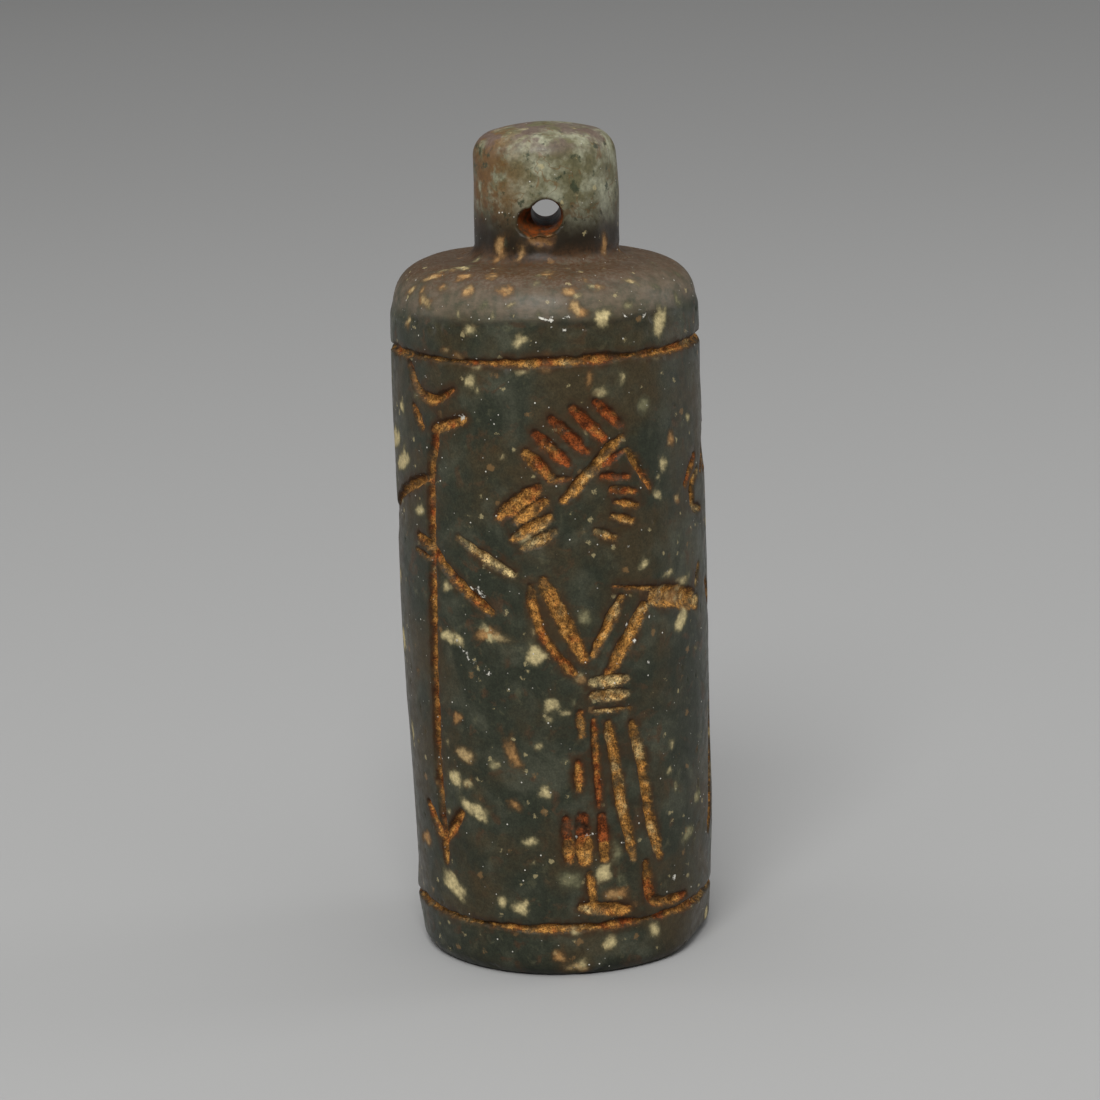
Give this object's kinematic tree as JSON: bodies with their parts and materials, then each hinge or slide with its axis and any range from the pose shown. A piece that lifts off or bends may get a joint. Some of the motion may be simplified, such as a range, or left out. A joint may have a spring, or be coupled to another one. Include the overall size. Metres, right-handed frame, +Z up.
{
  "type": "cylinder seal",
  "caption": "Upright carved stone cylinder with a rounded shoulder and a pierced knob, engraved all round with schematic figures between border grooves.",
  "frame": {"origin": "middle of the flat underside that it stands on", "axes": "+Z up along the cylinder's axis towards the pierced knob, and -Y out of the front, where the main figure is carved"},
  "size_m": [0.0202, 0.0202, 0.0541],
  "materials": {
    "stone": "worn satin polish on dark grey-green stone with pale inclusions, and ochre earth in the engraving"
  },
  "bodies": {
    "root": {"cylinder_seal": "stone"}
  },
  "joints": []
}
